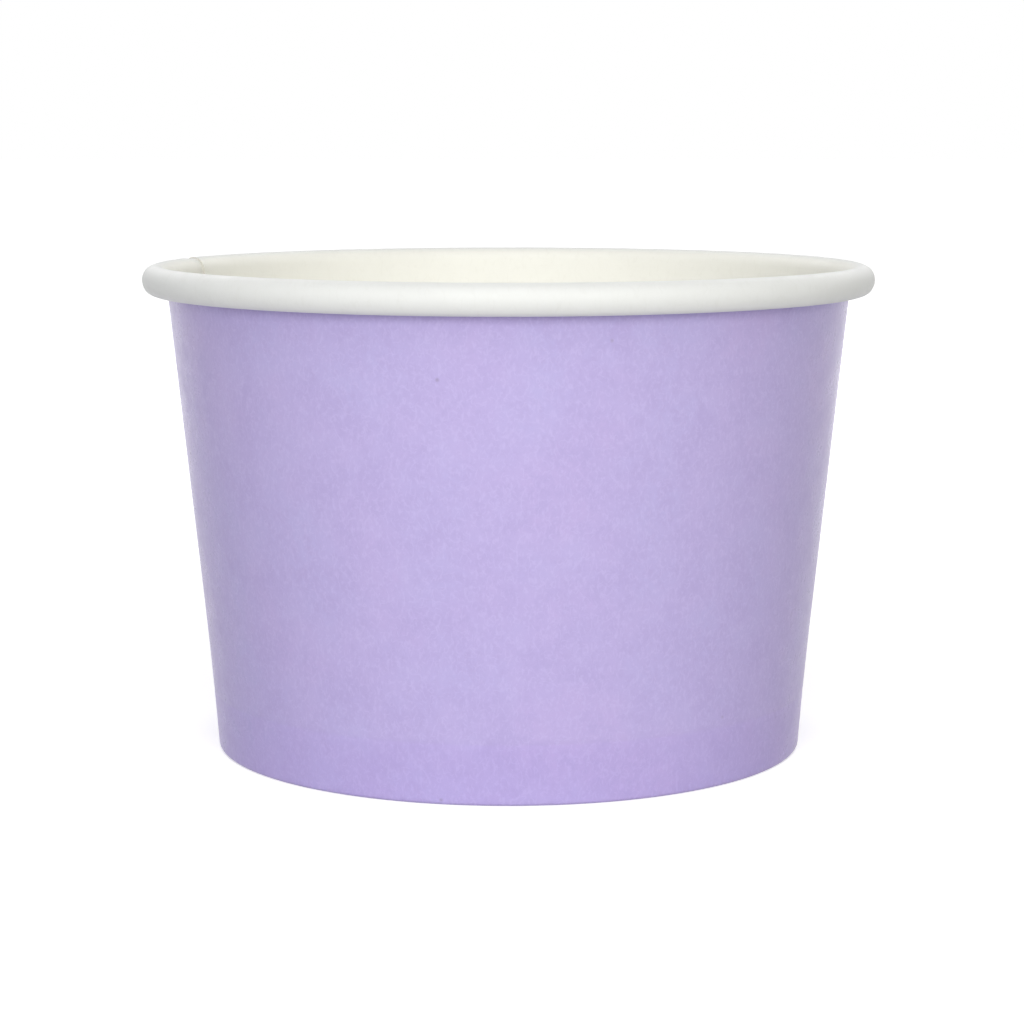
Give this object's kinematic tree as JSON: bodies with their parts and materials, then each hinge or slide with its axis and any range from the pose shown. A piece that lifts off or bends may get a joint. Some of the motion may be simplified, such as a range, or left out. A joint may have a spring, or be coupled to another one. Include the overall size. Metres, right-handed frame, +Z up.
{
  "type": "paper dessert cup",
  "caption": "Lilac single-wall paper dessert cup with a rolled white rim, an overlapped side seam and a recessed base disc, open at the top.",
  "frame": {"origin": "centre of the flat ring that the cup stands on", "axes": "+Z up along the cup's axis; -Y towards the camera of the picture, so the side seam is at the back left, 160 degrees counter-clockwise from +X"},
  "size_m": [0.095, 0.095, 0.0631],
  "materials": {
    "printed_board": "satin lilac print outside, matte white board inside and over the rolled rim",
    "white_board": "matte white coated board"
  },
  "bodies": {
    "root": {"side_wall": "printed_board", "base_disc": "white_board"}
  },
  "joints": []
}
